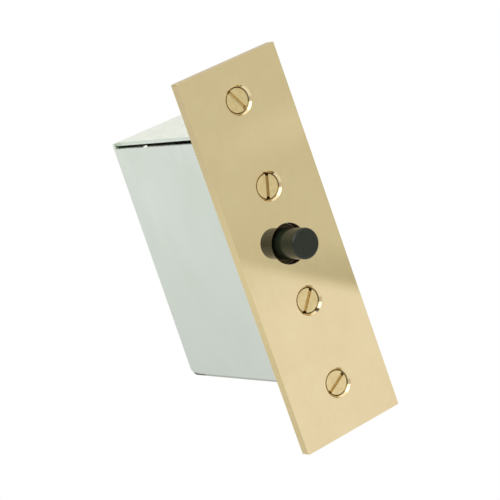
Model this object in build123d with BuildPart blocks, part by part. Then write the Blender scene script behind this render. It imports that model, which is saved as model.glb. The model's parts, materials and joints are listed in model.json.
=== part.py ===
import os
from math import atan, degrees, radians, tan

from build123d import *

# Door-jamb switch, in millimetres. X runs to the right, Z up, and -Y is the front, where the door's
# edge presses the button. The origin lies on the button's axis, in the plane of the box ears' rear
# faces, which is the plane that seats on the jamb. Depths are measured from it, positive backwards.

# Face plate
plate_length = 117.5
plate_width = 36.0
plate_thickness = 3.2
plate_corner_radius = 0.6
plate_edge_break = 0.25
button_hole_diameter = 12.3
upper_screw_margin = 11.7
lower_screw_margin = 15.4
switch_screw_spacing = 36.6

# Flat-head screws, all four alike but for their length
countersink_diameter = 9.2
countersink_angle = 82.0
screw_hole_diameter = 4.5
head_diameter = 7.7
head_seat_clearance = 0.05
thread_diameter = 4.1
tapped_clearance = 0.05
slot_width = 1.15
slot_depth = 1.0
screw_point = 0.6
plate_screw_length = 11.0
switch_screw_length = 9.5
plate_screw_turns = {"upper": 120.0, "lower": 28.0}
switch_screw_turns = {"upper": 72.0, "lower": 51.0}

# Folded box
sheet = 1.1
box_width = 28.0
box_depth = 52.9
bend_radius = 2.4
side_setback = 0.3
side_overhang = 0.2
side_clip_length = 3.0
side_clip_height = 0.6
end_wall_clearance = 0.1
seam_back = 0.65
seam_front = 0.95
seam_end = 3.1
seam_nib_depth = 31.9
seam_nib_radius = 1.1
seam_nib_height = 0.4
ear_screw_reach = 5.8
jamb_screw_reach = 6.0
ear_tip_reach = 4.2
ear_corner_radius = 4.0
ear_bend_radius = 0.5
jamb_hole_diameter = 4.6
jamb_sink_diameter = 5.9
knockout_diameter = 22.2
knockout_step = 0.5
knockout_tie = 0.25
back_knockout_height = 15.0
end_knockout_depth = 29.0
ground_pad_height = -20.0
ground_pad_diameter = 12.4
ground_pad_rise = 2.0
ground_thread_diameter = 4.7
ground_head_diameter = 9.4
ground_hex_across_flats = 7.9
ground_washer_thickness = 0.8
ground_hex_thickness = 2.2
ground_screw_reach = 2.8

# Strap that carries the switch
yoke_width = 19.0
yoke_length = 46.0
yoke_thickness = 1.2
yoke_corner_radius = 3.0
yoke_collar_diameter = 6.6
yoke_collar_height = 2.0

# Switch mouldings
housing_width = 19.0
housing_height = 29.0
housing_corner_radius = 1.6
housing_back_wall = 3.0
cover_thickness = 3.0
bushing_diameter = 12.0
bushing_clearance = 0.1
chamber_diameter = 13.8
channel_width = 6.8
channel_wall = 2.7
spring_seat_diameter = 8.8
spring_seat_depth = 0.8
pressed_spare = 3.7
barrier_thickness = 2.0
barrier_spacing = 11.2
barrier_height = 3.4
barrier_setback = 5.4
terminal_pocket_depth = 2.1

# Rivets through strap, cover and housing
rivet_diameter = 2.6
rivet_clearance = 0.05
rivet_across = 12.8
rivet_along = 22.4
rivet_sink_diameter = 4.4
rivet_sink_depth = 0.9
rivet_head_diameter = 4.6
rivet_head_height = 1.1

# Push button
button_diameter = 9.2
button_clearance = 0.1
button_protrusion = 8.6
button_rim_radius = 0.9
button_travel = 8.0
flange_diameter = 12.4
flange_thickness = 2.0
flange_gap = 0.4
shoulder_diameter = 6.0
shoulder_length = 2.8
stem_diameter = 3.8
stem_head_diameter = 5.2
stem_head_height = 0.7

# Contacts
bridge_width = 5.0
bridge_length = 21.6
bridge_thickness = 1.0
bridge_clearance = 0.1
bridge_corner_radius = 2.2
washer_diameter = 8.4
washer_thickness = 0.6
contact_thickness = 0.9
contact_width = 6.4
contact_inner_height = 7.1
contact_leg_length = 15.5
contact_bend_radius = 1.2
contact_clearance = 0.15
tip_diameter = 3.2
tip_spacing = 18.0
tip_height = 0.6
tip_shank_diameter = 1.5
tip_peen_diameter = 2.2
tip_peen_height = 0.3
tip_clearance = 0.05
contact_gap = 0.05

# Terminal screws
terminal_thread_diameter = 3.5
terminal_head_diameter = 7.0
terminal_head_height = 1.8
terminal_slot_width = 1.1
terminal_slot_depth = 0.9
terminal_shank_reach = 1.9
terminal_setback = 12.0

# Return spring
spring_wire = 0.7
spring_diameter = 7.4
spring_turns = 6.0

# Places that follow from the sizes above
plate_screw_spacing = plate_length - upper_screw_margin - lower_screw_margin
plate_centre = (upper_screw_margin - lower_screw_margin) / 2
box_height = plate_screw_spacing - 2 * ear_screw_reach
jamb_hole_spacing = plate_screw_spacing + 2 * jamb_screw_reach
ear_end = jamb_hole_spacing / 2 + ear_tip_reach
plate_rear = -sheet
plate_front = plate_rear - plate_thickness
sink_slope = tan(radians(countersink_angle / 2))
head_recess = ((countersink_diameter - head_diameter) / 2 - head_seat_clearance) / sink_slope
head_front = plate_front + head_recess
yoke_rear = plate_rear + yoke_thickness
cover_front = yoke_rear
cover_rear = cover_front + cover_thickness
button_front = plate_front - button_protrusion
flange_front = cover_rear + flange_gap
flange_rear = flange_front + flange_thickness
bridge_front = flange_rear + shoulder_length
bridge_rear = bridge_front + bridge_thickness
washer_rear = bridge_rear + washer_thickness
chamber_rear = washer_rear + stem_head_height + button_travel + pressed_spare
housing_rear = chamber_rear + housing_back_wall
housing_depth = housing_rear - cover_rear
spring_seat_rear = chamber_rear + spring_seat_depth
contact_rear = bridge_front - 2 * tip_height - contact_gap
contact_front = contact_rear - contact_thickness
terminal_depth = cover_rear + terminal_setback
housing_top = housing_height / 2
chamber_top = housing_top - channel_wall
box_inner_width = box_width - 2 * sheet
box_inner_height = box_height - 2 * sheet
box_inner_depth = box_depth - sheet
end_wall_width = box_inner_width - 2 * end_wall_clearance
seam_rear = box_depth - seam_end
ground_pad_front = box_inner_depth - ground_pad_rise
rivet_sink_angle = 2 * degrees(atan((rivet_sink_diameter - rivet_diameter) / 2 / rivet_sink_depth))

ends = {"upper": 1, "lower": -1}
same_place = 0.001


def facing_front(depth, height=0.0, across=0.0):
    """Plane square to the button's axis at a point of the front view. It faces forward, towards -Y."""
    return Plane(origin=(across, depth, height), x_dir=(1, 0, 0), z_dir=(0, -1, 0))


def both_ends(depth, spacing):
    """Two planes at this depth that face the front, above and below the button's axis."""
    return [facing_front(depth, sign * spacing / 2) for sign in ends.values()]


def along_depth(height=0.0, across=0.0):
    """Axis that runs backwards through a point of the front view."""
    return Axis((across, 0, height), (0, 1, 0))


def seam_gap(depth):
    """Width of the open upper seam, which is a little wider at the front than at the back."""
    share = (depth - plate_rear) / (seam_rear - plate_rear)
    return seam_front + (seam_back - seam_front) * share


def edges_across(piece, depth, height):
    """Edges along X at this depth and this distance above and below the button's axis."""
    return piece.edges().filter_by(Axis.X).filter_by(
        lambda edge: abs(edge.center().Y - depth) < same_place
        and abs(abs(edge.center().Z) - height) < same_place
    )


def knockout_faces():
    """Outer and inner face of the sheet at each knockout, both planes facing into the box."""
    back = [facing_front(depth, back_knockout_height) for depth in (box_depth, box_inner_depth)]
    end = [Plane(origin=(0, end_knockout_depth, -height / 2)) for height in (box_height, box_inner_height)]
    return [back, end]


def rivet_points():
    """Places of the two rivets in the front view, at opposite corners of the switch."""
    return [(sign * rivet_across / 2, sign * rivet_along / 2) for sign in ends.values()]


def save(piece, label):
    piece.part.label = label
    export_step(piece.part, f"parts/{label}.step")


def make_face_plate():
    with BuildPart() as face_plate:
        with BuildSketch(facing_front(plate_rear)):
            with Locations((0, plate_centre)):
                RectangleRounded(plate_width, plate_length, plate_corner_radius)
            Circle(button_hole_diameter / 2, mode=Mode.SUBTRACT)
        extrude(amount=plate_thickness)
        chamfer(face_plate.faces().sort_by(Axis.Y)[0].edges(), plate_edge_break)
        plate_screws = both_ends(plate_front, plate_screw_spacing)
        switch_screws = both_ends(plate_front, switch_screw_spacing)
        with Locations(*plate_screws, *switch_screws):
            CounterSinkHole(
                screw_hole_diameter / 2,
                countersink_diameter / 2,
                counter_sink_angle=countersink_angle,
            )
    save(face_plate, "face_plate")


def make_flat_head_screw(label, height, length, turn):
    """Slotted flat-head machine screw whose head sits in the plate's countersink."""
    head_radius = head_diameter / 2
    thread_radius = thread_diameter / 2
    head_rear = head_front + (head_radius - thread_radius) / sink_slope
    tip = head_front + length
    with BuildPart() as screw:
        with BuildSketch(Plane.XY.offset(height)):
            with BuildLine():
                Polyline(
                    (0, head_front),
                    (head_radius, head_front),
                    (thread_radius, head_rear),
                    (thread_radius, tip - screw_point),
                    (thread_radius - screw_point, tip),
                    (0, tip),
                    close=True,
                )
            make_face()
        revolve(axis=along_depth(height))
        with BuildSketch(facing_front(head_front, height)):
            Rectangle(2 * head_diameter, slot_width, rotation=turn)
        extrude(amount=-slot_depth, mode=Mode.SUBTRACT)
    save(screw, label)


def make_wall_box():
    """Box folded from one blank: back, long sides, end walls and ears, open at its corner seams."""
    side_top = box_inner_height / 2
    with BuildPart() as wall_box:
        with BuildSketch(facing_front(box_depth)):
            Rectangle(box_width, box_height)
        extrude(amount=box_depth - plate_rear)
        fillet(wall_box.faces().sort_by(Axis.Y)[-1].edges(), bend_radius)
        offset(amount=-sheet, openings=wall_box.faces().sort_by(Axis.Y)[0])

        # The end walls stand between the long sides, just clear of them
        walls_middle = ((plate_rear + seam_rear) / 2, 0)
        with BuildSketch(Plane.YZ.offset(end_wall_width / 2)):
            with Locations(walls_middle):
                Rectangle(seam_rear - plate_rear, box_height)
                Rectangle(seam_rear - plate_rear, box_inner_height, mode=Mode.SUBTRACT)
        beside_end_walls = extrude(amount=end_wall_clearance, mode=Mode.SUBTRACT)
        mirror(beside_end_walls, about=Plane.YZ, mode=Mode.SUBTRACT)

        # The long sides stop short of the plate and sit a little low: the upper seam stays open, and
        # their lower edge reaches past the lower end wall's inner face
        side_front = plate_rear + side_setback
        side_bottom = -side_top - side_overhang
        with BuildSketch(Plane.YZ.offset(box_inner_width / 2)):
            with Locations(walls_middle):
                Rectangle(seam_rear - plate_rear, box_height)
            with BuildLine():
                Polyline(
                    (side_front, side_top - seam_gap(side_front)),
                    (seam_rear, side_top - seam_back),
                    (seam_rear, side_bottom + side_clip_height),
                    (seam_rear - side_clip_length, side_bottom),
                    (side_front, side_bottom),
                    close=True,
                )
            make_face(mode=Mode.SUBTRACT)
        beside_long_sides = extrude(amount=sheet, mode=Mode.SUBTRACT)
        mirror(beside_long_sides, about=Plane.YZ, mode=Mode.SUBTRACT)

        # A small sheared nib stands on the upper edge of the left side
        nib_centre = side_top - seam_gap(seam_nib_depth) - seam_nib_radius + seam_nib_height
        with BuildSketch(Plane.YZ.offset(-box_width / 2)):
            with Locations((seam_nib_depth, nib_centre)):
                Circle(seam_nib_radius)
        extrude(amount=sheet)

        # Ears folded outwards from the end walls, flat on the plate's rear face
        with BuildSketch(facing_front(0)) as ear_outline:
            for sign in ends.values():
                with Locations((0, sign * (side_top + ear_end) / 2)):
                    Rectangle(end_wall_width, ear_end - side_top)
            far_corners = ear_outline.vertices().group_by(Axis.Y)
            fillet(far_corners[0] + far_corners[-1], ear_corner_radius)
        extrude(amount=sheet)
        fillet(edges_across(wall_box, 0, box_height / 2), ear_bend_radius)
        fillet(edges_across(wall_box, plate_rear, side_top), ear_bend_radius + sheet)
        with Locations(*both_ends(plate_rear, plate_screw_spacing)):
            Hole(thread_diameter / 2 + tapped_clearance)
        with Locations(*both_ends(plate_rear, jamb_hole_spacing)):
            CounterSinkHole(
                jamb_hole_diameter / 2, jamb_sink_diameter / 2, counter_sink_angle=countersink_angle
            )

        # Knockouts: round slugs pressed inwards by a part of the sheet
        for outside, inside in knockout_faces():
            with BuildSketch(outside):
                Circle(knockout_diameter / 2)
            extrude(amount=knockout_step, mode=Mode.SUBTRACT)
            with BuildSketch(inside):
                Circle(knockout_diameter / 2 - knockout_tie)
            extrude(amount=knockout_step)

        # Raised pad with the tapped hole for the ground screw
        with BuildSketch(facing_front(box_inner_depth, ground_pad_height)):
            Circle(ground_pad_diameter / 2)
        extrude(amount=ground_pad_rise)
        with BuildSketch(facing_front(box_depth, ground_pad_height)):
            Circle(ground_pad_diameter / 2 - sheet)
        extrude(amount=ground_pad_rise, mode=Mode.SUBTRACT)
        with Locations(facing_front(ground_pad_front, ground_pad_height)):
            Hole(ground_thread_diameter / 2 + tapped_clearance)
    save(wall_box, "wall_box")


def make_ground_screw():
    """Slotted hexagon-head screw with its own washer face, in the pad of the box's back."""
    washer_front = ground_pad_front - ground_washer_thickness
    hex_front = washer_front - ground_hex_thickness
    with BuildPart() as ground_screw:
        with BuildSketch(facing_front(ground_pad_front, ground_pad_height)):
            Circle(ground_head_diameter / 2)
        extrude(amount=ground_washer_thickness)
        with BuildSketch(facing_front(washer_front, ground_pad_height)):
            RegularPolygon(ground_hex_across_flats / 2, 6, major_radius=False)
        extrude(amount=ground_hex_thickness)
        with BuildSketch(facing_front(ground_pad_front, ground_pad_height)):
            Circle(ground_thread_diameter / 2)
        extrude(amount=-ground_screw_reach)
        with BuildSketch(facing_front(hex_front, ground_pad_height)):
            Rectangle(2 * ground_head_diameter, slot_width)
        extrude(amount=-slot_depth, mode=Mode.SUBTRACT)
    save(ground_screw, "ground_screw")


def make_switch_yoke():
    """Strap against the plate's rear, with tapped collars for the inner screws."""
    with BuildPart() as switch_yoke:
        with BuildSketch(facing_front(yoke_rear)):
            RectangleRounded(yoke_width, yoke_length, yoke_corner_radius)
            Circle(bushing_diameter / 2 + bushing_clearance, mode=Mode.SUBTRACT)
        extrude(amount=yoke_thickness)
        with BuildSketch(*both_ends(yoke_rear, switch_screw_spacing)):
            Circle(yoke_collar_diameter / 2)
        extrude(amount=-yoke_collar_height)
        with Locations(*both_ends(plate_rear, switch_screw_spacing)):
            Hole(thread_diameter / 2 + tapped_clearance)
        with Locations(*[facing_front(plate_rear, height, across) for across, height in rivet_points()]):
            CounterSinkHole(
                rivet_diameter / 2 + rivet_clearance,
                rivet_sink_diameter / 2 + rivet_clearance,
                counter_sink_angle=rivet_sink_angle,
            )
    save(switch_yoke, "switch_yoke")


def make_housing_cover():
    """Front moulding: the bushing guides the button, and a lug at each end holds a contact strip."""
    with BuildPart() as housing_cover:
        with BuildSketch(facing_front(cover_rear)):
            RectangleRounded(housing_width, housing_height, housing_corner_radius)
        extrude(amount=cover_thickness)
        with BuildSketch(facing_front(cover_front)):
            Circle(bushing_diameter / 2)
        extrude(amount=yoke_thickness)
        with BuildSketch(facing_front(cover_rear)):
            with Locations(*[(0, sign * (housing_top - channel_wall / 2)) for sign in ends.values()]):
                Rectangle(contact_width, channel_wall - 2 * contact_clearance)
        extrude(amount=cover_rear - contact_front)
        with Locations(facing_front(plate_rear)):
            Hole(button_diameter / 2 + button_clearance)
        with Locations(*[facing_front(plate_rear, height, across) for across, height in rivet_points()]):
            Hole(rivet_diameter / 2 + rivet_clearance)
    save(housing_cover, "housing_cover")


def make_switch_housing():
    """Rear moulding: contact chamber, seats for the strips and barriers beside the terminals."""
    with BuildPart() as switch_housing:
        with BuildSketch(facing_front(housing_rear)):
            RectangleRounded(housing_width, housing_height, housing_corner_radius)
        extrude(amount=housing_depth)
        with BuildSketch(facing_front(housing_rear)):
            with GridLocations(barrier_spacing, housing_height, 2, 2):
                Rectangle(barrier_thickness, 2 * barrier_height)
        extrude(amount=housing_depth - barrier_setback)

        # Chamber for the flange and the bridge, with a seat for the spring in its floor
        with BuildSketch(facing_front(chamber_rear)):
            Circle(chamber_diameter / 2)
            Rectangle(channel_width, 2 * chamber_top)
        extrude(amount=chamber_rear - cover_rear, mode=Mode.SUBTRACT)
        with BuildSketch(facing_front(spring_seat_rear)):
            Circle(spring_seat_diameter / 2)
        extrude(amount=spring_seat_depth, mode=Mode.SUBTRACT)

        # Notches that take the contact strips, and pockets for the terminal screws' tips
        with BuildSketch(facing_front(contact_rear)):
            with Locations(*[(0, sign * housing_top) for sign in ends.values()]):
                Rectangle(contact_width + 2 * contact_clearance, 2 * channel_wall)
        extrude(amount=contact_rear - cover_rear, mode=Mode.SUBTRACT)
        with Locations(*[
            Plane(origin=(0, terminal_depth, sign * housing_top), z_dir=(0, 0, sign))
            for sign in ends.values()
        ]):
            Hole(terminal_thread_diameter / 2 + contact_clearance, terminal_pocket_depth)
        with Locations(*[facing_front(cover_rear, height, across) for across, height in rivet_points()]):
            Hole(rivet_diameter / 2 + rivet_clearance)
    save(switch_housing, "switch_housing")


def make_housing_rivet(label, across, height):
    """Rivet with a flush head in the strap and a domed head behind the housing."""
    shank_radius = rivet_diameter / 2
    head_start = plate_rear + rivet_clearance
    dome_top = housing_rear + rivet_head_height
    with BuildPart() as rivet:
        with BuildSketch(Plane.XY.offset(height)):
            with BuildLine():
                Polyline(
                    (across + rivet_head_diameter / 2, housing_rear),
                    (across + shank_radius, housing_rear),
                    (across + shank_radius, head_start + rivet_sink_depth),
                    (across + rivet_sink_diameter / 2, head_start),
                    (across, head_start),
                    (across, dome_top),
                )
                TangentArc(
                    (across, dome_top),
                    (across + rivet_head_diameter / 2, housing_rear),
                    tangent=(1, 0),
                )
            make_face()
        revolve(axis=along_depth(height, across))
    save(rivet, label)


def make_push_button():
    """Plunger: button, stop flange, shoulder, and a stem whose end is headed over the washer."""
    with BuildPart() as push_button:
        with BuildSketch():
            with BuildLine():
                Polyline(
                    (0, button_front),
                    (button_diameter / 2, button_front),
                    (button_diameter / 2, flange_front),
                    (flange_diameter / 2, flange_front),
                    (flange_diameter / 2, flange_rear),
                    (shoulder_diameter / 2, flange_rear),
                    (shoulder_diameter / 2, bridge_front),
                    (stem_diameter / 2, bridge_front),
                    (stem_diameter / 2, washer_rear),
                    (stem_head_diameter / 2, washer_rear),
                    (stem_diameter / 2, washer_rear + stem_head_height),
                    (0, washer_rear + stem_head_height),
                    close=True,
                )
            make_face()
        revolve(axis=along_depth())
        fillet(push_button.faces().sort_by(Axis.Y)[0].edges(), button_rim_radius)
    save(push_button, "push_button")


def make_return_spring():
    """Compression spring with flat-ground ends, from the washer to its seat in the housing."""
    length = spring_seat_rear - washer_rear
    with BuildPart() as return_spring:
        with BuildLine() as coil:
            Helix(
                pitch=length / spring_turns,
                height=length,
                radius=(spring_diameter - spring_wire) / 2,
                center=(0, washer_rear, 0),
                direction=(0, 1, 0),
            )
        with BuildSketch(Plane(origin=coil.line @ 0, z_dir=coil.line % 0)):
            Circle(spring_wire / 2)
        sweep(path=coil.line)
        with BuildSketch(facing_front(spring_seat_rear)):
            Circle(spring_diameter)
        extrude(amount=length, mode=Mode.INTERSECT)
    save(return_spring, "return_spring")


def make_contact_bridge():
    with BuildPart() as contact_bridge:
        with BuildSketch(facing_front(bridge_rear)):
            RectangleRounded(bridge_width, bridge_length, bridge_corner_radius)
            Circle(stem_diameter / 2 + bridge_clearance, mode=Mode.SUBTRACT)
            with Locations(*[(0, sign * tip_spacing / 2) for sign in ends.values()]):
                Circle(tip_shank_diameter / 2 + tip_clearance, mode=Mode.SUBTRACT)
        extrude(amount=bridge_thickness)
    save(contact_bridge, "contact_bridge")


def make_bridge_washer():
    with BuildPart() as bridge_washer:
        with BuildSketch(facing_front(washer_rear)):
            Circle(washer_diameter / 2)
            Circle(stem_diameter / 2 + bridge_clearance, mode=Mode.SUBTRACT)
        extrude(amount=washer_thickness)
    save(bridge_washer, "bridge_washer")


def make_contact_tip(label, height, seat, carrier_thickness, towards):
    """Contact rivet: a button on one side of its carrier and a peened end on the other."""
    shank_end = seat - towards * carrier_thickness
    with BuildPart() as tip:
        for start, reach, diameter in (
            (seat, towards * tip_height, tip_diameter),
            (seat, -towards * carrier_thickness, tip_shank_diameter),
            (shank_end, -towards * tip_peen_height, tip_peen_diameter),
        ):
            with BuildSketch(facing_front(start, height)):
                Circle(diameter / 2)
            extrude(amount=-reach)
    save(tip, label)


def make_fixed_contact(label, sign):
    """Strip that carries a contact tip inside and bends back along the housing to its terminal."""
    inner, outer = contact_inner_height, housing_top + contact_thickness
    with BuildPart() as fixed_contact:
        with BuildSketch(Plane.YZ):
            with BuildLine():
                Polyline(
                    (contact_front, sign * inner),
                    (contact_front, sign * outer),
                    (contact_front + contact_leg_length, sign * outer),
                    (contact_front + contact_leg_length, sign * housing_top),
                    (contact_rear, sign * housing_top),
                    (contact_rear, sign * inner),
                    close=True,
                )
            make_face()
        extrude(amount=contact_width / 2, both=True)
        bend = fixed_contact.edges().filter_by(Axis.X).sort_by(
            lambda edge: edge.center().Y - sign * edge.center().Z
        )[0]
        fillet(bend, contact_bend_radius)
        with Locations(facing_front(contact_front, sign * tip_spacing / 2)):
            Hole(tip_shank_diameter / 2 + tip_clearance, contact_thickness)
        with Locations(Plane(origin=(0, terminal_depth, sign * outer), z_dir=(0, 0, sign))):
            Hole(terminal_thread_diameter / 2 + tapped_clearance, contact_thickness)
    save(fixed_contact, label)


def make_terminal_screw(label, sign):
    """Slotted binding screw through the strip, its tip in a pocket of the housing."""
    seat = housing_top + contact_thickness
    top = seat + terminal_head_height
    with BuildPart() as terminal_screw:
        for start, reach, diameter in (
            (seat, terminal_head_height, terminal_head_diameter),
            (seat, -contact_thickness - terminal_shank_reach, terminal_thread_diameter),
        ):
            with BuildSketch(Plane(origin=(0, terminal_depth, sign * start), z_dir=(0, 0, sign))):
                Circle(diameter / 2)
            extrude(amount=reach)
        with BuildSketch(Plane(origin=(0, terminal_depth, sign * top), z_dir=(0, 0, sign))):
            Rectangle(2 * terminal_head_diameter, terminal_slot_width)
        extrude(amount=-terminal_slot_depth, mode=Mode.SUBTRACT)
    save(terminal_screw, label)


os.makedirs("parts", exist_ok=True)
make_face_plate()
make_wall_box()
make_ground_screw()
make_switch_yoke()
make_housing_cover()
make_switch_housing()
make_push_button()
make_return_spring()
make_contact_bridge()
make_bridge_washer()
for end, sign in ends.items():
    make_flat_head_screw(
        f"plate_screw_{end}", sign * plate_screw_spacing / 2, plate_screw_length, plate_screw_turns[end]
    )
    make_flat_head_screw(
        f"switch_screw_{end}", sign * switch_screw_spacing / 2, switch_screw_length, switch_screw_turns[end]
    )
    make_fixed_contact(f"fixed_contact_{end}", sign)
    make_terminal_screw(f"terminal_screw_{end}", sign)
    make_contact_tip(f"fixed_tip_{end}", sign * tip_spacing / 2, contact_rear, contact_thickness, 1)
    make_contact_tip(f"moving_tip_{end}", sign * tip_spacing / 2, bridge_front, bridge_thickness, -1)
for end, (across, height) in zip(ends, rivet_points()):
    make_housing_rivet(f"housing_rivet_{end}", across, height)
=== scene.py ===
import json
import math
import bmesh
import bpy
from mathutils import Matrix, Vector


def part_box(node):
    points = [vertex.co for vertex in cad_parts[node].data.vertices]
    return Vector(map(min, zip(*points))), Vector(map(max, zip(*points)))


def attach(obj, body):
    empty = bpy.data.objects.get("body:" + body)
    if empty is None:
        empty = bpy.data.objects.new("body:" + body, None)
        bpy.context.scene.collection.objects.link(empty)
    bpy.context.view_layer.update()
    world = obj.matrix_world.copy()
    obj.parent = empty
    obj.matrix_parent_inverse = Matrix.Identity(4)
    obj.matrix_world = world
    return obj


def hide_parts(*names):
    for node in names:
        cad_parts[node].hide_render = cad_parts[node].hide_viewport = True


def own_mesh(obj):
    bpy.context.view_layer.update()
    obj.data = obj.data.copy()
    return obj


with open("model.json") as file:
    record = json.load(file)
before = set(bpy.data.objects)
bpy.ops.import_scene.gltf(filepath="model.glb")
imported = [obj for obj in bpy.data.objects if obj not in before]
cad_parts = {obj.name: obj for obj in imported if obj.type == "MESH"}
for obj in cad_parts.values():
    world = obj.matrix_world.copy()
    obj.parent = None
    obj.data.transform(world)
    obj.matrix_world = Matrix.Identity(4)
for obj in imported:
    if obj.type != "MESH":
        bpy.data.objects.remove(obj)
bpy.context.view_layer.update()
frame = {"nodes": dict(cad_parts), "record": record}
scene = bpy.context.scene
nodes = frame["nodes"]
mm = 0.001  # sizes below are written in millimetres and multiplied by this


def addObject(name, data):
    thing = bpy.data.objects.new(name, data)
    scene.collection.objects.link(thing)
    return thing


# The camera stands in front of the plate, to its left and a little above, and is rolled to the right
cameraView = {
    "place": (-334.67 * mm, -542.29 * mm, 139.56 * mm),
    "looking": (0.50101, 0.83907, -0.21200),
    "up": (0.39022, -0.00037, 0.92072),
    "lens": 158.36,
    "sensor": 36.0,
    "nearest": 0.01,
    "furthest": 50,
}


def makeCamera(view):
    back = -Vector(view["looking"]).normalized()
    right = Vector(view["up"]).cross(back).normalized()
    up = back.cross(right)
    turned = Matrix((right, up, back)).transposed().to_4x4()
    camera = bpy.data.cameras.new("productCamera")
    camera.lens = view["lens"]
    camera.sensor_width = view["sensor"]
    camera.clip_start = view["nearest"]
    camera.clip_end = view["furthest"]
    scene.camera = addObject("productCamera", camera)
    scene.camera.matrix_world = Matrix.Translation(view["place"]) @ turned


makeCamera(cameraView)
print("camera set")


# Short ways to add and join shader nodes
class NodeBench:
    def __init__(self, tree):
        self.tree = tree
        tree.nodes.clear()

    def add(self, kind, **settings):
        node = self.tree.nodes.new(kind)
        for key, value in settings.items():
            setattr(node, key, value)
        return node

    def join(self, source, target):
        self.tree.links.new(source, target)

    def feed(self, socket, value):
        if isinstance(value, bpy.types.NodeSocket):
            self.join(value, socket)
        else:
            socket.default_value = value

    def mapRange(self, source, fromMin, fromMax, toMin, toMax, smooth=False):
        node = self.add("ShaderNodeMapRange")
        node.interpolation_type = "SMOOTHSTEP" if smooth else "LINEAR"
        limits = {"From Min": fromMin, "From Max": fromMax, "To Min": toMin, "To Max": toMax}
        for key, value in limits.items():
            self.feed(node.inputs[key], value)
        self.join(source, node.inputs["Value"])
        return node.outputs["Result"]

    def math(self, operation, first, second=0.0):
        node = self.add("ShaderNodeMath", operation=operation)
        self.feed(node.inputs[0], first)
        self.feed(node.inputs[1], second)
        return node.outputs[0]

    def noise(self, vector, scale, detail, roughness):
        node = self.add("ShaderNodeTexNoise")
        node.inputs["Scale"].default_value = scale
        node.inputs["Detail"].default_value = detail
        node.inputs["Roughness"].default_value = roughness
        self.join(vector, node.inputs["Vector"])
        return node.outputs["Fac"]

    def stretch(self, vector, scale):
        node = self.add("ShaderNodeMapping")
        node.inputs["Scale"].default_value = scale
        self.join(vector, node.inputs["Vector"])
        return node.outputs["Vector"]

    def apart(self, vector):
        node = self.add("ShaderNodeSeparateXYZ")
        self.join(vector, node.inputs["Vector"])
        return node.outputs["X"], node.outputs["Y"], node.outputs["Z"]

    # A Mix node's inputs 6 and 7 and its output 2 are the ones for colours
    def blendColours(self, factor, first, second):
        node = self.add("ShaderNodeMix", data_type="RGBA")
        self.feed(node.inputs[0], factor)
        for socket, colour in ((node.inputs[6], first), (node.inputs[7], second)):
            self.feed(socket, colour if isinstance(colour, bpy.types.NodeSocket) else (*colour, 1))
        return node.outputs[2]


# Every finish: clouds and grain drift the colour, and the grain also moves gloss and surface height
finishMixing = {
    "cloudNoise": (2.0, 0.55),  # detail and roughness of the noise
    "grainNoise": (4.0, 0.6),
    "cloudShare": 0.6,
    "grainShare": 0.4,
    "colourReach": (0.35, 0.65),  # noise levels between which the colour goes from dark to light
    "glossReach": (0.3, 0.7),
}


def surfaceFinish(name, look, mixing=finishMixing):
    material = bpy.data.materials.new(name)
    material.use_nodes = True
    bench = NodeBench(material.node_tree)
    output = bench.add("ShaderNodeOutputMaterial")
    shader = bench.add("ShaderNodeBsdfPrincipled")
    bench.join(shader.outputs["BSDF"], output.inputs["Surface"])
    shader.inputs["Metallic"].default_value = look["metallic"]
    shader.inputs["Specular IOR Level"].default_value = look["specular"]
    place = bench.add("ShaderNodeTexCoord").outputs["Object"]
    cloud = bench.noise(place, look["cloudScale"], *mixing["cloudNoise"])
    stretched = bench.stretch(place, look["grainStretch"])
    grain = bench.noise(stretched, look["grainScale"], *mixing["grainNoise"])
    cloudPart = bench.math("MULTIPLY", cloud, mixing["cloudShare"])
    grainPart = bench.math("MULTIPLY", grain, mixing["grainShare"])
    shade = bench.math("ADD", cloudPart, grainPart)
    share = bench.mapRange(shade, *mixing["colourReach"], 0.0, 1.0)
    colour = bench.blendColours(share, look["dark"], look["light"])
    # Some finishes carry painted shade: their colour is darkened towards a shade colour along one axis,
    # between two places on it
    if "paintedShade" in look:
        along = bench.apart(place)[look["paintedShadeAxis"]]
        paintedShadeAmount = bench.mapRange(along, *look["paintedShadeFrom"], 0.0, look["paintedShadeShare"], smooth=True)
        colour = bench.blendColours(paintedShadeAmount, colour, look["paintedShade"])
    bench.join(colour, shader.inputs["Base Color"])
    gloss = bench.mapRange(grain, *mixing["glossReach"], *look["roughness"])
    bench.join(gloss, shader.inputs["Roughness"])
    bump = bench.add("ShaderNodeBump")
    bump.inputs["Strength"].default_value = look["bumpStrength"]
    bump.inputs["Distance"].default_value = look["bumpDepth"]
    bench.join(grain, bump.inputs["Height"])
    bench.join(bump.outputs["Normal"], shader.inputs["Normal"])
    return material


plateBrassLook = {
    "dark": (0.775, 0.634, 0.380),
    "light": (0.811, 0.672, 0.416),
    "metallic": 0.95,
    "specular": 0.5,
    "roughness": (0.018, 0.032),
    "cloudScale": 70.0,
    "grainScale": 600.0,
    "grainStretch": (1.0, 1.0, 0.5),
    "bumpStrength": 0.01,
    "bumpDepth": 0.00001,
}
# Cut edge of the plate: its brass is painted lighter than the face's, and painted shade darkens it
# towards the top, so that it reads as lit more at the bottom
plateEdgeLook = dict(plateBrassLook, dark=(0.845, 0.690, 0.355), light=(0.905, 0.750, 0.405),
                     roughness=(0.22, 0.34), grainStretch=(1.0, 0.12, 1.0), bumpStrength=0.12,
                     paintedShade=(0.42, 0.34, 0.19), paintedShadeAxis=2, paintedShadeFrom=(-20 * mm, 50 * mm),
                     paintedShadeShare=0.57)
# Countersinks: painted shade darkens them almost to black-brown deeper than the screw heads' fronts, in
# the gap round each head
countersinkLook = dict(plateBrassLook, dark=(0.76, 0.62, 0.36), light=(0.82, 0.69, 0.42),
                       metallic=1.0, roughness=(0.14, 0.20), bumpStrength=0.10,
                       paintedShade=(0.10, 0.06, 0.015), paintedShadeAxis=1,
                       paintedShadeFrom=(-3.80 * mm, -3.50 * mm), paintedShadeShare=0.9)
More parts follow.
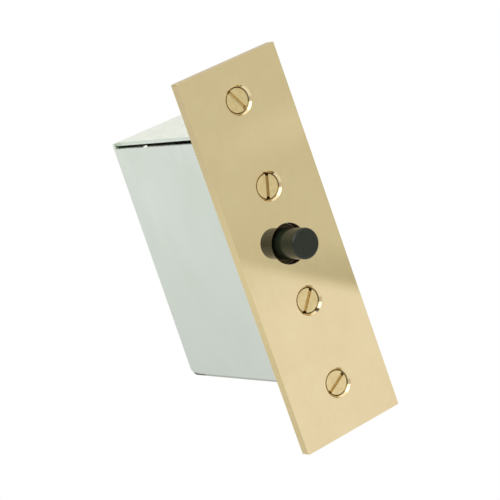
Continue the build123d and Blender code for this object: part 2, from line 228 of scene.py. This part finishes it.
# Screws: painted shade darkens the rim, the slot and everything behind the head's front, where they sit
# in the countersink
screwBrassLook = dict(plateBrassLook, dark=(0.735, 0.580, 0.295), light=(0.855, 0.690, 0.385),
                      metallic=1.0, roughness=(0.16, 0.28), cloudScale=650.0, grainScale=1500.0,
                      grainStretch=(1.0, 1.0, 1.0), bumpStrength=0.30, bumpDepth=0.00008,
                      paintedShade=(0.10, 0.06, 0.015), paintedShadeAxis=1,
                      paintedShadeFrom=(-3.46 * mm, -3.20 * mm), paintedShadeShare=0.22)
zincSheetLook = {
    "dark": (0.750, 0.820, 0.740),
    "light": (0.805, 0.865, 0.795),
    "metallic": 1.0,
    "specular": 0.5,
    "roughness": (0.34, 0.44),
    "cloudScale": 45.0,
    "grainScale": 320.0,
    "grainStretch": (1.0, 1.0, 0.25),  # rolling direction
    "bumpStrength": 0.05,
    "bumpDepth": 0.00004,
}
# Lower cut edges of the box: a darker zinc that is painted shade under the overhanging sides, with more
# painted shadow towards the back, in the gap at the corner reliefs
shearedEdgePaintedShadeLook = dict(zincSheetLook, dark=(0.56, 0.60, 0.53), light=(0.62, 0.66, 0.59),
                       roughness=(0.40, 0.50), paintedShade=(0.15, 0.145, 0.13), paintedShadeAxis=1,
                       paintedShadeFrom=(47.5 * mm, 50 * mm), paintedShadeShare=0.85)
yokeSteelLook = dict(zincSheetLook, dark=(0.60, 0.61, 0.60), light=(0.68, 0.69, 0.68))
rivetSteelLook = dict(yokeSteelLook, dark=(0.56, 0.56, 0.54), light=(0.66, 0.66, 0.64),
                      roughness=(0.22, 0.32))
springSteelLook = dict(yokeSteelLook, dark=(0.40, 0.40, 0.39), light=(0.52, 0.52, 0.50),
                       roughness=(0.25, 0.35))
greenSteelLook = dict(yokeSteelLook, dark=(0.05, 0.25, 0.09), light=(0.10, 0.36, 0.15), metallic=0.6)
contactBrassLook = dict(plateBrassLook, dark=(0.64, 0.50, 0.26), light=(0.72, 0.58, 0.32),
                        roughness=(0.25, 0.35))
contactSilverLook = dict(yokeSteelLook, dark=(0.78, 0.78, 0.76), light=(0.86, 0.86, 0.84),
                         roughness=(0.18, 0.28))
buttonLook = {
    "dark": (0.016, 0.024, 0.014),
    "light": (0.024, 0.032, 0.020),
    "metallic": 0.0,
    "specular": 0.30,
    "roughness": (0.18, 0.25),
    "cloudScale": 300.0,
    "grainScale": 2500.0,
    "grainStretch": (1.0, 1.0, 1.0),
    "bumpStrength": 0.08,
    "bumpDepth": 0.00003,
}
# Housing moulding: a brown phenolic, its colour raised to stand in for the brass hole wall's reflection
# and the light in the gap round the button, a painted reflection
mouldingLook = dict(buttonLook, dark=(0.115, 0.074, 0.018), light=(0.150, 0.100, 0.030),
                    roughness=(0.35, 0.45))

finishes = {
    "plate_brass": surfaceFinish("polishedPlateBrass", plateBrassLook),
    "screw_brass": surfaceFinish("turnedScrewBrass", screwBrassLook),
    "zinc_sheet": surfaceFinish("zincPlatedSheet", zincSheetLook),
    "yoke_steel": surfaceFinish("platedYokeSteel", yokeSteelLook),
    "rivet_steel": surfaceFinish("nickelRivetSteel", rivetSteelLook),
    "spring_steel": surfaceFinish("springWireSteel", springSteelLook),
    "green_steel": surfaceFinish("greenGroundSteel", greenSteelLook),
    "contact_brass": surfaceFinish("contactStripBrass", contactBrassLook),
    "contact_silver": surfaceFinish("contactTipSilver", contactSilverLook),
    "button_black": surfaceFinish("blackButtonMoulding", buttonLook),
    "black_moulding": surfaceFinish("blackHousingMoulding", mouldingLook),
}
plateEdgeFinish = surfaceFinish("sawnPlateEdge", plateEdgeLook)
countersinkFinish = surfaceFinish("turnedCountersink", countersinkLook)
shearedEdgePaintedShadeFinish = surfaceFinish("shearedLowerEdgePaintedShade", shearedEdgePaintedShadeLook)
for part in frame["record"]["subparts"]:
    mesh = nodes[part["node"]].data
    mesh.materials.clear()
    mesh.materials.append(finishes[part["material_slot"]])
print("finishes given to", len(nodes), "CAD nodes")


# Round faces shade round on the CAD nodes, and their flats stay flat
shading = {
    "weld": 0.002 * mm,
    "creaseAngle": math.radians(28),
    "facing": 0.9,  # a face counts as facing an axis when this share of its normal lies along it
}


def makeShadingGroup(look):
    group = bpy.data.node_groups.new("shadeByAngle", "GeometryNodeTree")
    group.interface.new_socket("Geometry", in_out="INPUT", socket_type="NodeSocketGeometry")
    group.interface.new_socket("Geometry", in_out="OUTPUT", socket_type="NodeSocketGeometry")
    bench = NodeBench(group)
    start = bench.add("NodeGroupInput")
    end = bench.add("NodeGroupOutput")
    welded = bench.add("GeometryNodeMergeByDistance")
    welded.inputs["Distance"].default_value = look["weld"]
    cleared = bench.add("GeometryNodeRemoveAttribute")
    cleared.inputs["Name"].default_value = "custom_normal"
    roundFaces = bench.add("GeometryNodeSetShadeSmooth", domain="FACE")
    creases = bench.add("GeometryNodeSetShadeSmooth", domain="EDGE")
    angle = bench.add("GeometryNodeInputMeshEdgeAngle").outputs["Unsigned Angle"]
    bench.join(bench.math("LESS_THAN", angle, look["creaseAngle"]), creases.inputs["Shade Smooth"])
    steps = (start, welded, cleared, roundFaces, creases, end)
    for step, following in zip(steps, steps[1:]):
        bench.join(step.outputs[0], following.inputs[0])
    return group


def keepFlatsFlat(piece):
    weighted = piece.modifiers.new("flatFacesFirst", "WEIGHTED_NORMAL")
    weighted.keep_sharp = True


shadingGroup = makeShadingGroup(shading)
for node in nodes.values():
    node.modifiers.new("shadeByAngle", "NODES").node_group = shadingGroup
    keepFlatsFlat(node)
print("CAD nodes shaded by angle")


# Helpers for meshes that are turned about an axis along Y
def addPoint(shape, centre, radius, angle, depth):
    x = centre[0] + radius * math.cos(angle)
    z = centre[1] + radius * math.sin(angle)
    return shape.verts.new((x, depth, z))


def addRing(shape, centre, radius, depth, steps):
    return [addPoint(shape, centre, radius, 2 * math.pi * step / steps, depth) for step in range(steps)]


def addBand(shape, first, second):
    for step in range(len(first)):
        after = (step + 1) % len(first)
        shape.faces.new((first[step], first[after], second[after], second[step]))


def turnProfile(shape, centre, profile, steps):
    rings = [addRing(shape, centre, radius, depth, steps) for radius, depth in profile]
    for first, second in zip(rings, rings[1:]):
        addBand(shape, first, second)
    return rings


def roundedCorner(cornerRadius, cornerDepth, size, steps, outwards=1):
    points = []  # quarter round between a face and a wall, as (radius, depth)
    for step in range(steps + 1):
        angle = math.pi / 2 * step / steps
        points.append((cornerRadius - outwards * size * (1 - math.sin(angle)),
                       cornerDepth + size * (1 - math.cos(angle))))
    return points


def meshObject(name, shape):
    mesh = bpy.data.meshes.new(name)
    shape.to_mesh(mesh)
    shape.free()
    return addObject(name, mesh)


def finishPiece(name, shape, *surfaces, crease=shading["creaseAngle"]):
    bmesh.ops.recalc_face_normals(shape, faces=shape.faces)
    for face in shape.faces:
        face.smooth = True
    for edge in shape.edges:
        if len(edge.link_faces) == 2:
            edge.smooth = edge.calc_face_angle() < crease
    piece = meshObject(name, shape)
    for surface in surfaces:
        piece.data.materials.append(surface)
    keepFlatsFlat(piece)
    return piece


def cutAway(blank, cutter):
    bmesh.ops.recalc_face_normals(cutter, faces=cutter.faces)
    tool = meshObject("cutter", cutter)
    blank.modifiers.clear()
    cut = blank.modifiers.new("cut", "BOOLEAN")
    cut.operation = "DIFFERENCE"
    cut.solver = "EXACT"
    cut.object = tool
    bpy.context.view_layer.update()
    evaluated = blank.evaluated_get(bpy.context.evaluated_depsgraph_get())
    result = bpy.data.meshes.new_from_object(evaluated)
    bpy.data.objects.remove(blank)
    bpy.data.objects.remove(tool)
    shape = bmesh.new()
    shape.from_mesh(result)
    return shape


def place(piece, body, slotName, *replaced):
    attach(piece, body)
    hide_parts(*replaced)


def centreOf(node):
    low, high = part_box(node)
    return (low.x + high.x) / 2, (low.z + high.z) / 2


screwNames = ["plate_screw_upper", "plate_screw_lower", "switch_screw_upper", "switch_screw_lower"]


# Brass plate: rolled strip cut to length, its front arrises eased, with four countersinks
plateShape = {
    "cornerRadius": 0.5 * mm,
    "cornerSteps": 24,
    "arris": 0.12 * mm,
    "arrisSteps": 4,
    "buttonHoleRadius": 6.15 * mm,
    "buttonHoleEdge": 0.12 * mm,
    "buttonHoleSteps": 4,
    "countersinkRadius": 4.6 * mm,
    "countersinkSlope": math.tan(math.radians(82 / 2)),
    "countersinkEdge": 0.07 * mm,
    # points of the eased edge, outwards and down, as shares of countersinkEdge
    "countersinkEase": ((1, 0), (0.25, 0.2), (-0.5, 0.6)),
    "boreRadius": 2.25 * mm,
    "holeSteps": 96,
    "crease": math.radians(5),  # finer than elsewhere, so that the polished face shades quite flat
    "edgeMargin": 1.2,  # of the arris, inside which a face belongs to the cut edges
}


def plateOutline(shape, low, high, inset, depth, look):
    radius = look["cornerRadius"] - inset
    centres = [(high.x, high.z, 0), (low.x, high.z, 1), (low.x, low.z, 2), (high.x, low.z, 3)]
    outline = []
    for x, z, quarter in centres:
        middleX = x - math.copysign(look["cornerRadius"], x)
        middleZ = z - math.copysign(look["cornerRadius"], z)
        for step in range(look["cornerSteps"] + 1):
            angle = math.pi / 2 * (quarter + step / look["cornerSteps"])
            outline.append(addPoint(shape, (middleX, middleZ), radius, angle, depth))
    return outline


def makePlate(look):
    low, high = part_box("face_plate")
    front, rear = low.y, high.y
    shape = bmesh.new()
    loops = []
    for inset, depth in roundedCorner(0, front, look["arris"], look["arrisSteps"]):
        loops.append(plateOutline(shape, low, high, -inset, depth, look))
    loops.append(plateOutline(shape, low, high, 0, rear, look))
    for first, second in zip(loops, loops[1:]):
        addBand(shape, first, second)
    rims, mouths = [loops[0]], [loops[-1]]
    edge = look["countersinkEdge"]
    wide, bore = look["countersinkRadius"], look["boreRadius"]
    sinkProfile = [(wide + out * edge, front + down * edge) for out, down in look["countersinkEase"]]
    sinkProfile += [(bore, front + (wide - bore) / look["countersinkSlope"]), (bore, rear)]
    for screw in screwNames:
        rings = turnProfile(shape, centreOf(screw), sinkProfile, look["holeSteps"])
        rims.append(rings[0])
        mouths.append(rings[-1])
    holeProfile = roundedCorner(look["buttonHoleRadius"], front, look["buttonHoleEdge"],
                                look["buttonHoleSteps"], outwards=-1)
    holeProfile.append((look["buttonHoleRadius"], rear))
    rings = turnProfile(shape, (0, 0), holeProfile, look["holeSteps"])
    rims.append(rings[0])
    mouths.append(rings[-1])
    for loopsOfOneFace in (rims, mouths):
        edges = []
        for loop in loopsOfOneFace:
            edges += [shape.edges.get((loop[step - 1], loop[step])) for step in range(len(loop))]
        bmesh.ops.triangle_fill(shape, edges=edges, use_beauty=True)
    shape.normal_update()
    margin = look["edgeMargin"] * look["arris"]
    for face in shape.faces:  # the cut edges and the countersinks are duller than the polished face
        middle = face.calc_center_median()
        outside = middle.x < low.x + margin or middle.x > high.x - margin
        outside = outside or middle.z < low.z + margin or middle.z > high.z - margin
        # The cut edges and the countersinks also carry painted shade in their colours
        if abs(face.normal.y) < shading["facing"]:
            face.material_index = 1 if outside else 2
    surfaces = finishes["plate_brass"], plateEdgeFinish, countersinkFinish
    piece = finishPiece("brassFacePlate", shape, *surfaces, crease=look["crease"])
    place(piece, "case", "plate_brass", "face_plate")


makePlate(plateShape)
print("face plate made")


# Flat-head machine screws: eased rim, milled slot and a rolled thread that runs out under the head
screwShape = {
    "steps": 72,
    "headGap": 0.12 * mm,  # play between the head's rim and the countersink
    "rim": 0.16 * mm,
    "rimSteps": 3,
    "headSlope": math.tan(math.radians(82 / 2)),
    "threadRadius": 2.05 * mm,
    "threadDepth": 0.42 * mm,
    "pitch": 0.79 * mm,
    "profileSteps": 8,
    "rootEnd": 0.97,  # where the flank ends, from 0 on the crest to 1 in the root
    "flankShare": 0.8,
    "threadStart": 0.1,  # room before and behind the thread, in pitches
    "threadEnd": 0.15,
    "runOut": 1.2 * mm,
    "point": 0.6 * mm,
    "slotWidth": 1.15 * mm,
    "slotDepth": 0.8 * mm,
    "slotReach": 8,  # the cutter's length, in thread radii
    "slotEdge": 0.07 * mm,
    "slotEdgeSteps": 2,
    "lipWithin": 0.001 * mm,  # a lip of the slot lies this near the head's front
    "lipAlong": 0.999,  # and runs this nearly along the slot
    "lipAngle": 1.0,
}
slotTurns = {  # in degrees, from the plate's width towards its top
    "plate_screw_upper": 120,
    "plate_screw_lower": 28,
    "switch_screw_upper": 72,
    "switch_screw_lower": 51,
}


def smoothStep(value, low, high):
    share = min(1.0, max(0.0, (value - low) / (high - low)))
    return share * share * (3 - 2 * share)


def addStrip(shape, first, second):
    for step in range(len(first) - 1):
        shape.faces.new((first[step], first[step + 1], second[step + 1], second[step]))


# The thread winds, so the last point of a row meets the first one of the row a whole turn further on
def addThread(shape, centre, neck, tip, look):
    steps, perTurn, pitch = look["steps"], look["profileSteps"], look["pitch"]
    start = neck[0].co.y + look["threadStart"] * pitch
    rows = int((tip - look["threadEnd"] * pitch - start - pitch) / (pitch / perTurn))
    grid = []
    for row in range(rows + 1):
        phase = abs(2 * (row % perTurn) / perTurn - 1)  # 1 in the root, 0 on the crest
        groove = 1 - min(1.0, max(0.0, (look["rootEnd"] - phase) / look["flankShare"]))
        line = []
        for step in range(steps):
            depth = start + pitch * (row / perTurn + step / steps)
            fade = smoothStep(depth, start, start + look["runOut"])
            radius = look["threadRadius"] - look["threadDepth"] * groove * fade
            radius = min(radius, look["threadRadius"] - max(0.0, depth - (tip - look["point"])))
            line.append(addPoint(shape, centre, radius, 2 * math.pi * step / steps, depth))
        grid.append(line)
    for row, (line, following) in enumerate(zip(grid, grid[1:])):
        addStrip(shape, line, following)
        if row + perTurn < rows:
            nextTurn, afterIt = grid[row + perTurn], grid[row + perTurn + 1]
            shape.faces.new((line[-1], nextTurn[0], afterIt[0], following[-1]))
    end = addRing(shape, centre, look["threadRadius"] - look["point"], tip, steps)
    addStrip(shape, neck, grid[0])
    addStrip(shape, grid[rows], end)
    firstTurn = [line[0] for line in grid[:perTurn + 1]]
    lastTurn = [line[-1] for line in reversed(grid[-perTurn - 1:])]
    shape.faces.new([neck[-1], neck[0]] + firstTurn + [grid[0][-1]])
    shape.faces.new([grid[rows][0], end[0], end[-1]] + lastTurn)
    shape.faces.new(end)


def cutSlot(blank, centre, front, turn, look):
    cutter = bmesh.new()
    angle = math.radians(turn)
    middle = Matrix.Translation((centre[0], front, centre[1])) @ Matrix.Rotation(-angle, 4, "Y")
    length = look["slotReach"] * look["threadRadius"]
    size = Matrix.Diagonal((length, 2 * look["slotDepth"], look["slotWidth"], 1))
    bmesh.ops.create_cube(cutter, size=1.0, matrix=middle @ size)
    shape = cutAway(blank, cutter)
    along = Vector((math.cos(angle), 0, math.sin(angle)))
    lips = []
    for edge in shape.edges:
        first, second = (vert.co for vert in edge.verts)
        flat = all(abs(point.y - front) < look["lipWithin"] for point in (first, second))
        alongSlot = abs((second - first).normalized().dot(along)) > look["lipAlong"]
        if flat and alongSlot and edge.calc_face_angle() > look["lipAngle"]:
            lips.append(edge)
    bmesh.ops.bevel(shape, geom=lips, offset=look["slotEdge"], segments=look["slotEdgeSteps"],
                    profile=0.5, affect="EDGES")
    return shape


def makeScrew(node, turn, look):
    low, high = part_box(node)
    centre, front, tip = centreOf(node), low.y, high.y
    headRadius = (high.x - low.x) / 2 - look["headGap"]
    shape = bmesh.new()
    profile = roundedCorner(headRadius, front, look["rim"], look["rimSteps"])
    headHeight = (headRadius - look["threadRadius"]) / look["headSlope"]
    profile.append((look["threadRadius"], front + headHeight))
    rings = turnProfile(shape, centre, profile, look["steps"])
    shape.faces.new(rings[0])
    addThread(shape, centre, rings[-1], tip, look)
    blank = finishPiece("screwBlank", shape)
    shape = cutSlot(blank, centre, front, turn, look)
    name = "".join(word.capitalize() for word in node.split("_"))
    piece = finishPiece("slotted" + name, shape, finishes["screw_brass"])
    place(piece, "case", "screw_brass", node)


for node, turn in slotTurns.items():
    makeScrew(node, turn, screwShape)
print("four slotted screws made")


# Wall box: it is folded a little out of square. It is deeper at its lower end than at its upper end, so
# its back and the ground screw in it lean. Its lower end wall stands slightly proud of the long sides,
# and the corners at its lower end are cut away, as a blank needs them to be for folding.
boxShape = {
    "halfHeight": 39.4 * mm,
    "upperReach": 0.57 * mm,
    "lowerReach": 2.96 * mm,
    "leanFrom": 40 * mm,  # depth behind which everything leans; the walls only grow longer before it
    "leanFull": 46 * mm,
    "sideInside": 12.85 * mm,  # the long sides and their bends lie outside this
    "sideEnd": 49.7 * mm,
    "lowerDrop": 0.35 * mm,
    "dropFrom": -36.5 * mm,
    "dropFull": -38.2 * mm,
    "earFrom": -41.0 * mm,
    "upperTilt": 0.45 * mm,  # the upper end wall falls off towards the right-hand side
    "tiltFrom": 36.5 * mm,
    "tiltFull": 38.2 * mm,
    "tiltEar": 40.5 * mm,
    "tiltDepth": (3 * mm, 16 * mm),
    "reliefOutline": (  # depth and height in millimetres
        (58.0, -36.1),
        (50.8, -38.9),
        (49.6, -39.3),
        (49.6, -42.0),
        (58.0, -42.0),
    ),
    "reliefWidth": (12.75 * mm, 15.0 * mm),
    "nibDepth": 31.9 * mm,
    "nibReach": 3.5 * mm,
    "nibMove": 1.4 * mm,
    "nibShare": 0.55,
}


def leanBack(shape, look):
    for vert in shape.verts:
        share = smoothStep(vert.co.y, look["leanFrom"], look["leanFull"])
        drop = (look["halfHeight"] - vert.co.z) / (2 * look["halfHeight"])
        vert.co.y += share * (look["upperReach"] + drop * (look["lowerReach"] - look["upperReach"]))


def inLongSide(vert, look):
    return abs(vert.co.x) > look["sideInside"] and vert.co.y < look["sideEnd"]


def dropLowerWall(shape, look):
    for vert in shape.verts:
        if vert.co.z > look["earFrom"] and not inLongSide(vert, look):
            vert.co.z -= look["lowerDrop"] * smoothStep(-vert.co.z, -look["dropFrom"], -look["dropFull"])


def tiltUpperWall(shape, look):
    for vert in shape.verts:
        if vert.co.z < look["tiltEar"] and not inLongSide(vert, look):
            across = (vert.co.x + look["sideInside"]) / (2 * look["sideInside"])
            share = smoothStep(vert.co.z, look["tiltFrom"], look["tiltFull"]) * max(0.0, across)
            vert.co.z -= look["upperTilt"] * share * smoothStep(vert.co.y, *look["tiltDepth"])


def shrinkNib(shape, look):
    for vert in shape.verts:
        fromNib = vert.co.y - look["nibDepth"]
        atSeam = vert.co.x < -look["sideInside"] and vert.co.z > look["halfHeight"] - look["nibReach"]
        if atSeam and abs(fromNib) < look["nibReach"]:
            vert.co.y = look["nibDepth"] + look["nibMove"] + look["nibShare"] * fromNib


def cutReliefs(blank, look):
    cutter = bmesh.new()
    for side in (-1, 1):
        rows = []
        for width in look["reliefWidth"]:
            points = [(side * width, depth * mm, height * mm) for depth, height in look["reliefOutline"]]
            rows.append([cutter.verts.new(point) for point in points])
        addBand(cutter, *rows)
        for row in rows:
            cutter.faces.new(row)
    return cutAway(blank, cutter)


def weldedCopy(node):
    shape = bmesh.new()
    shape.from_mesh(nodes[node].data)
    bmesh.ops.remove_doubles(shape, verts=shape.verts, dist=shading["weld"])
    return shape


def makeWallBox(look):
    shape = weldedCopy("wall_box")
    shrinkNib(shape, look)
    dropLowerWall(shape, look)
    tiltUpperWall(shape, look)
    leanBack(shape, look)
    shape = cutReliefs(finishPiece("boxBlank", shape), look)
    # Cut edges at the lower end of the box, behind the plate, get the darker finish of painted shade
    for face in shape.faces:
        middle = face.calc_center_median()
        atEdge = abs(face.normal.x) > shading["facing"] and abs(middle.x) < look["sideInside"]
        face.material_index = 1 if atEdge and middle.z < look["dropFrom"] and middle.y > 0 else 0
    piece = finishPiece("foldedWallBox", shape, finishes["zinc_sheet"], shearedEdgePaintedShadeFinish)
    place(piece, "case", "zinc_sheet", "wall_box")
    screw = weldedCopy("ground_screw")
    leanBack(screw, look)
    piece = finishPiece("greenGroundScrew", screw, finishes["green_steel"])
    place(piece, "case", "green_steel", "ground_screw")


makeWallBox(boxShape)
print("wall box and ground screw made")


# Push button: turned form of the moulding, with a softer rim, down to the headed end of its stem
buttonShape = {
    "steps": 128,
    "radius": 4.68 * mm,
    "reach": 0.5 * mm,  # how much further it stands out than the CAD one
    "rim": 0.95 * mm,
    "rimSteps": 10,
    "flangeRadius": 6.2 * mm,
    "flangeThickness": 2.0 * mm,
    "shoulderRadius": 3.0 * mm,
    "shoulderLength": 2.8 * mm,
    "stemRadius": 1.9 * mm,
    "stemLength": 1.6 * mm,
    "headRadius": 2.6 * mm,
    "headHeight": 0.7 * mm,
}


def makeButton(look):
    low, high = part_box("push_button")
    shape = bmesh.new()
    profile = roundedCorner(look["radius"], low.y - look["reach"], look["rim"], look["rimSteps"])
    headFront = high.y - look["headHeight"]
    stemFront = headFront - look["stemLength"]
    shoulderFront = stemFront - look["shoulderLength"]
    flangeFront = shoulderFront - look["flangeThickness"]
    profile += [
        (look["radius"], flangeFront),
        (look["flangeRadius"], flangeFront),
        (look["flangeRadius"], shoulderFront),
        (look["shoulderRadius"], shoulderFront),
        (look["shoulderRadius"], stemFront),
        (look["stemRadius"], stemFront),
        (look["stemRadius"], headFront),
        (look["headRadius"], headFront),
        (look["stemRadius"], high.y),
    ]
    rings = turnProfile(shape, (0, 0), profile, look["steps"])
    shape.faces.new(rings[0])
    shape.faces.new(rings[-1])
    piece = finishPiece("blackPushButton", shape, finishes["button_black"])
    place(piece, "button", "button_black", "push_button")


makeButton(buttonShape)
print("push button made")


# Return spring: closed and ground ends, even pitch between them
springShape = {
    "wireRadius": 0.35 * mm,
    "turns": 7.0,
    "closedTurns": 1.0,
    "closedPitch": 0.72 * mm,
    "ground": 0.2 * mm,
    "stepsPerTurn": 40,
    "wireSteps": 12,
    "travel": 8.0 * mm,
    "pressedGap": 0.03 * mm,  # keeps the pressed coil just clear of the washer that follows it
}


def makeSpring(look):
    low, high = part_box("return_spring")
    coilRadius = (high.x - low.x) / 2 - look["wireRadius"]
    first = low.y + look["wireRadius"] - look["ground"]
    last = high.y - look["wireRadius"] + look["ground"]
    closed, openTurns = look["closedTurns"], look["turns"] - 2 * look["closedTurns"]
    openPitch = (last - first - 2 * closed * look["closedPitch"]) / openTurns
    shape = bmesh.new()
    rings = []
    for step in range(int(look["turns"] * look["stepsPerTurn"]) + 1):
        turn = step / look["stepsPerTurn"]
        depth = first + look["closedPitch"] * min(turn, closed)
        depth += openPitch * min(max(turn - closed, 0), openTurns)
        depth += look["closedPitch"] * max(turn - closed - openTurns, 0)
        angle = 2 * math.pi * turn
        outwards = Vector((math.cos(angle), 0, math.sin(angle)))
        ring = []
        for corner in range(look["wireSteps"]):
            around = 2 * math.pi * corner / look["wireSteps"]
            point = outwards * (coilRadius + look["wireRadius"] * math.cos(around))
            point.y = min(high.y, max(low.y, depth + look["wireRadius"] * math.sin(around)))
            ring.append(shape.verts.new(point))
        rings.append(ring)
    for one, following in zip(rings, rings[1:]):
        addBand(shape, one, following)
    shape.faces.new(rings[0])
    shape.faces.new(rings[-1])
    piece = finishPiece("groundReturnSpring", shape, finishes["spring_steel"])
    place(piece, "case", "spring_steel", "return_spring")
    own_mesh(piece)


makeSpring(springShape)
print("return spring made")


# White floor: paper near the object, so that it keeps a shadow, and plain white further away.
# To the right of the plate the sweep ends, and the plate shows the greyer room beyond that edge.
stageLook = {
    "floorHeight": -0.35,
    "floorReach": 12.0,
    "shadowReach": (0.22, 0.45),
    "paper": (0.90, 0.90, 0.90),
    "roomGrey": 0.745,
    "edgeLean": 0.194,
    "edgeFrom": -1.2,
    "edge": (0.738, 0.768),
    "sweepAlong": (-1.36, -1.12),
    "sweepWhite": (0.895, 1.0),
    "dipAlong": (-1.12, -1.38),
    "dipShare": (0.185, 0.03),
    "dipEdge": (0.775, 0.85),
    "paleSpot": (1.30, -1.89),
    "paleSpotRadius": 0.26,
    "paleSpotGain": 0.075,
    "roomTint": (1.0, 1.01, 0.895),
    "backShade": (0.62, 1.0),  # the sweep behind the object is greyer near it
    "backShadeReach": (0.8, 2.3),
    "backShadeFrom": (0.1, 0.5),
}


def addRoomEdge(bench, spot, look):
    across, along = bench.apart(spot)[:2]
    lean = bench.math("MULTIPLY", bench.math("SUBTRACT", along, look["edgeFrom"]), look["edgeLean"])
    edge = bench.math("ADD", across, lean)
    onSweep = bench.mapRange(edge, *look["edge"], 1.0, 0.0, smooth=True)
    white = bench.mapRange(along, *look["sweepAlong"], *look["sweepWhite"], smooth=True)
    dipDepth = bench.mapRange(along, *look["dipAlong"], *look["dipShare"])
    dipFade = bench.mapRange(edge, *look["dipEdge"], 1.0, 0.0, smooth=True)
    dip = bench.math("SUBTRACT", 1.0, bench.math("MULTIPLY", dipDepth, dipFade))
    away = bench.add("ShaderNodeVectorMath", operation="DISTANCE")
    bench.join(spot, away.inputs[0])
    away.inputs[1].default_value = (*look["paleSpot"], 0)
    pale = bench.mapRange(away.outputs["Value"], 0.0, look["paleSpotRadius"],
                          look["paleSpotGain"], 0.0, smooth=True)
    room = bench.math("ADD", bench.math("MULTIPLY", dip, look["roomGrey"]), pale)
    missing = bench.math("SUBTRACT", white, room)
    return bench.math("ADD", room, bench.math("MULTIPLY", onSweep, missing))


def makeFloor(look):
    reach = look["floorReach"]
    mesh = bpy.data.meshes.new("studioFloor")
    corners = [(-reach, -reach, 0), (reach, -reach, 0), (reach, reach, 0), (-reach, reach, 0)]
    mesh.from_pydata(corners, [], [(0, 1, 2, 3)])
    floor = addObject("studioFloor", mesh)
    floor.location = (0, 0, look["floorHeight"])
    material = bpy.data.materials.new("studioFloor")
    material.use_nodes = True
    bench = NodeBench(material.node_tree)
    output = bench.add("ShaderNodeOutputMaterial")
    paper = bench.add("ShaderNodeBsdfDiffuse")
    paper.inputs["Color"].default_value = (*look["paper"], 1)
    glow = bench.add("ShaderNodeEmission")
    rays = bench.add("ShaderNodeLightPath")
    spot = bench.add("ShaderNodeTexCoord").outputs["Object"]
    length = bench.add("ShaderNodeVectorMath", operation="LENGTH")
    bench.join(spot, length.inputs[0])
    distance = length.outputs["Value"]
    far = bench.mapRange(distance, *look["shadowReach"], 0.0, 1.0, smooth=True)
    room = addRoomEdge(bench, spot, look)
    shade = bench.mapRange(distance, *look["backShadeReach"], *look["backShade"])
    behind = bench.mapRange(bench.apart(spot)[1], *look["backShadeFrom"], 0.0, 1.0, smooth=True)
    lost = bench.math("MULTIPLY", bench.math("SUBTRACT", 1.0, shade), behind)
    strength = bench.math("MULTIPLY", room, bench.math("SUBTRACT", 1.0, lost))
    camera = rays.outputs["Is Camera Ray"]
    bench.join(bench.math("MAXIMUM", strength, camera), glow.inputs["Strength"])
    white = bench.math("MAXIMUM", bench.mapRange(room, look["roomGrey"], 1.0, 0.0, 1.0), camera)
    bench.join(bench.blendColours(white, look["roomTint"], (1.0, 1.0, 1.0)), glow.inputs["Color"])
    seen = bench.math("MAXIMUM", bench.math("MULTIPLY", camera, far), rays.outputs["Is Glossy Ray"])
    seen = bench.math("MAXIMUM", seen, rays.outputs["Is Transmission Ray"])
    mix = bench.add("ShaderNodeMixShader")
    bench.join(seen, mix.inputs["Fac"])
    bench.join(paper.outputs["BSDF"], mix.inputs[1])
    bench.join(glow.outputs["Emission"], mix.inputs[2])
    bench.join(mix.outputs["Shader"], output.inputs["Surface"])
    mesh.materials.append(material)


worldLook = {
    "horizonGrey": 0.68,
    "topGrey": 1.3,
    "rise": (0.30, 0.85),
    "tint": (1.0, 0.965, 0.945),
    "fill": 0.50,
}


def makeWorld(look):
    world = bpy.data.worlds.new("studioRoom")
    scene.world = world
    world.use_nodes = True
    bench = NodeBench(world.node_tree)
    output = bench.add("ShaderNodeOutputWorld")
    background = bench.add("ShaderNodeBackground")
    rays = bench.add("ShaderNodeLightPath")
    height = bench.apart(bench.add("ShaderNodeTexCoord").outputs["Generated"])[2]
    glossy = bench.mapRange(height, *look["rise"], look["horizonGrey"], look["topGrey"], smooth=True)
    seesRoom = bench.math("MAXIMUM", rays.outputs["Is Glossy Ray"], rays.outputs["Is Transmission Ray"])
    roomPart = bench.math("MULTIPLY", glossy, seesRoom)
    fillPart = bench.math("MULTIPLY", bench.math("SUBTRACT", 1.0, seesRoom), look["fill"])
    strength = bench.math("ADD", roomPart, fillPart)
    camera = rays.outputs["Is Camera Ray"]
    bench.join(bench.math("MAXIMUM", strength, camera), background.inputs["Strength"])
    bench.join(bench.blendColours(camera, look["tint"], (1.0, 1.0, 1.0)), background.inputs["Color"])
    bench.join(background.outputs["Background"], output.inputs["Surface"])


lamps = {
    "keySoftbox": {"towards": (-0.50, -0.38, 0.78), "distance": 1.6, "size": 1.3, "power": 9.0,
                   "colour": (1.0, 1.0, 1.0)},
    "rearSoftbox": {"towards": (0.35, 0.75, 0.60), "distance": 1.8, "size": 1.0, "power": 1.5,
                    "colour": (1.0, 0.955, 0.91)},
}


def makeLamp(name, look):
    light = bpy.data.lights.new(name, "AREA")
    light.size = look["size"]
    light.energy = look["power"]
    light.color = look["colour"]
    lamp = addObject(name, light)
    towards = Vector(look["towards"]).normalized()
    lamp.location = towards * look["distance"]
    lamp.rotation_euler = towards.to_track_quat("Z", "Y").to_euler()


makeFloor(stageLook)
makeWorld(worldLook)
for name, look in lamps.items():
    makeLamp(name, look)
scene.view_settings.view_transform = "Standard"
print("floor, room and lamps ready")
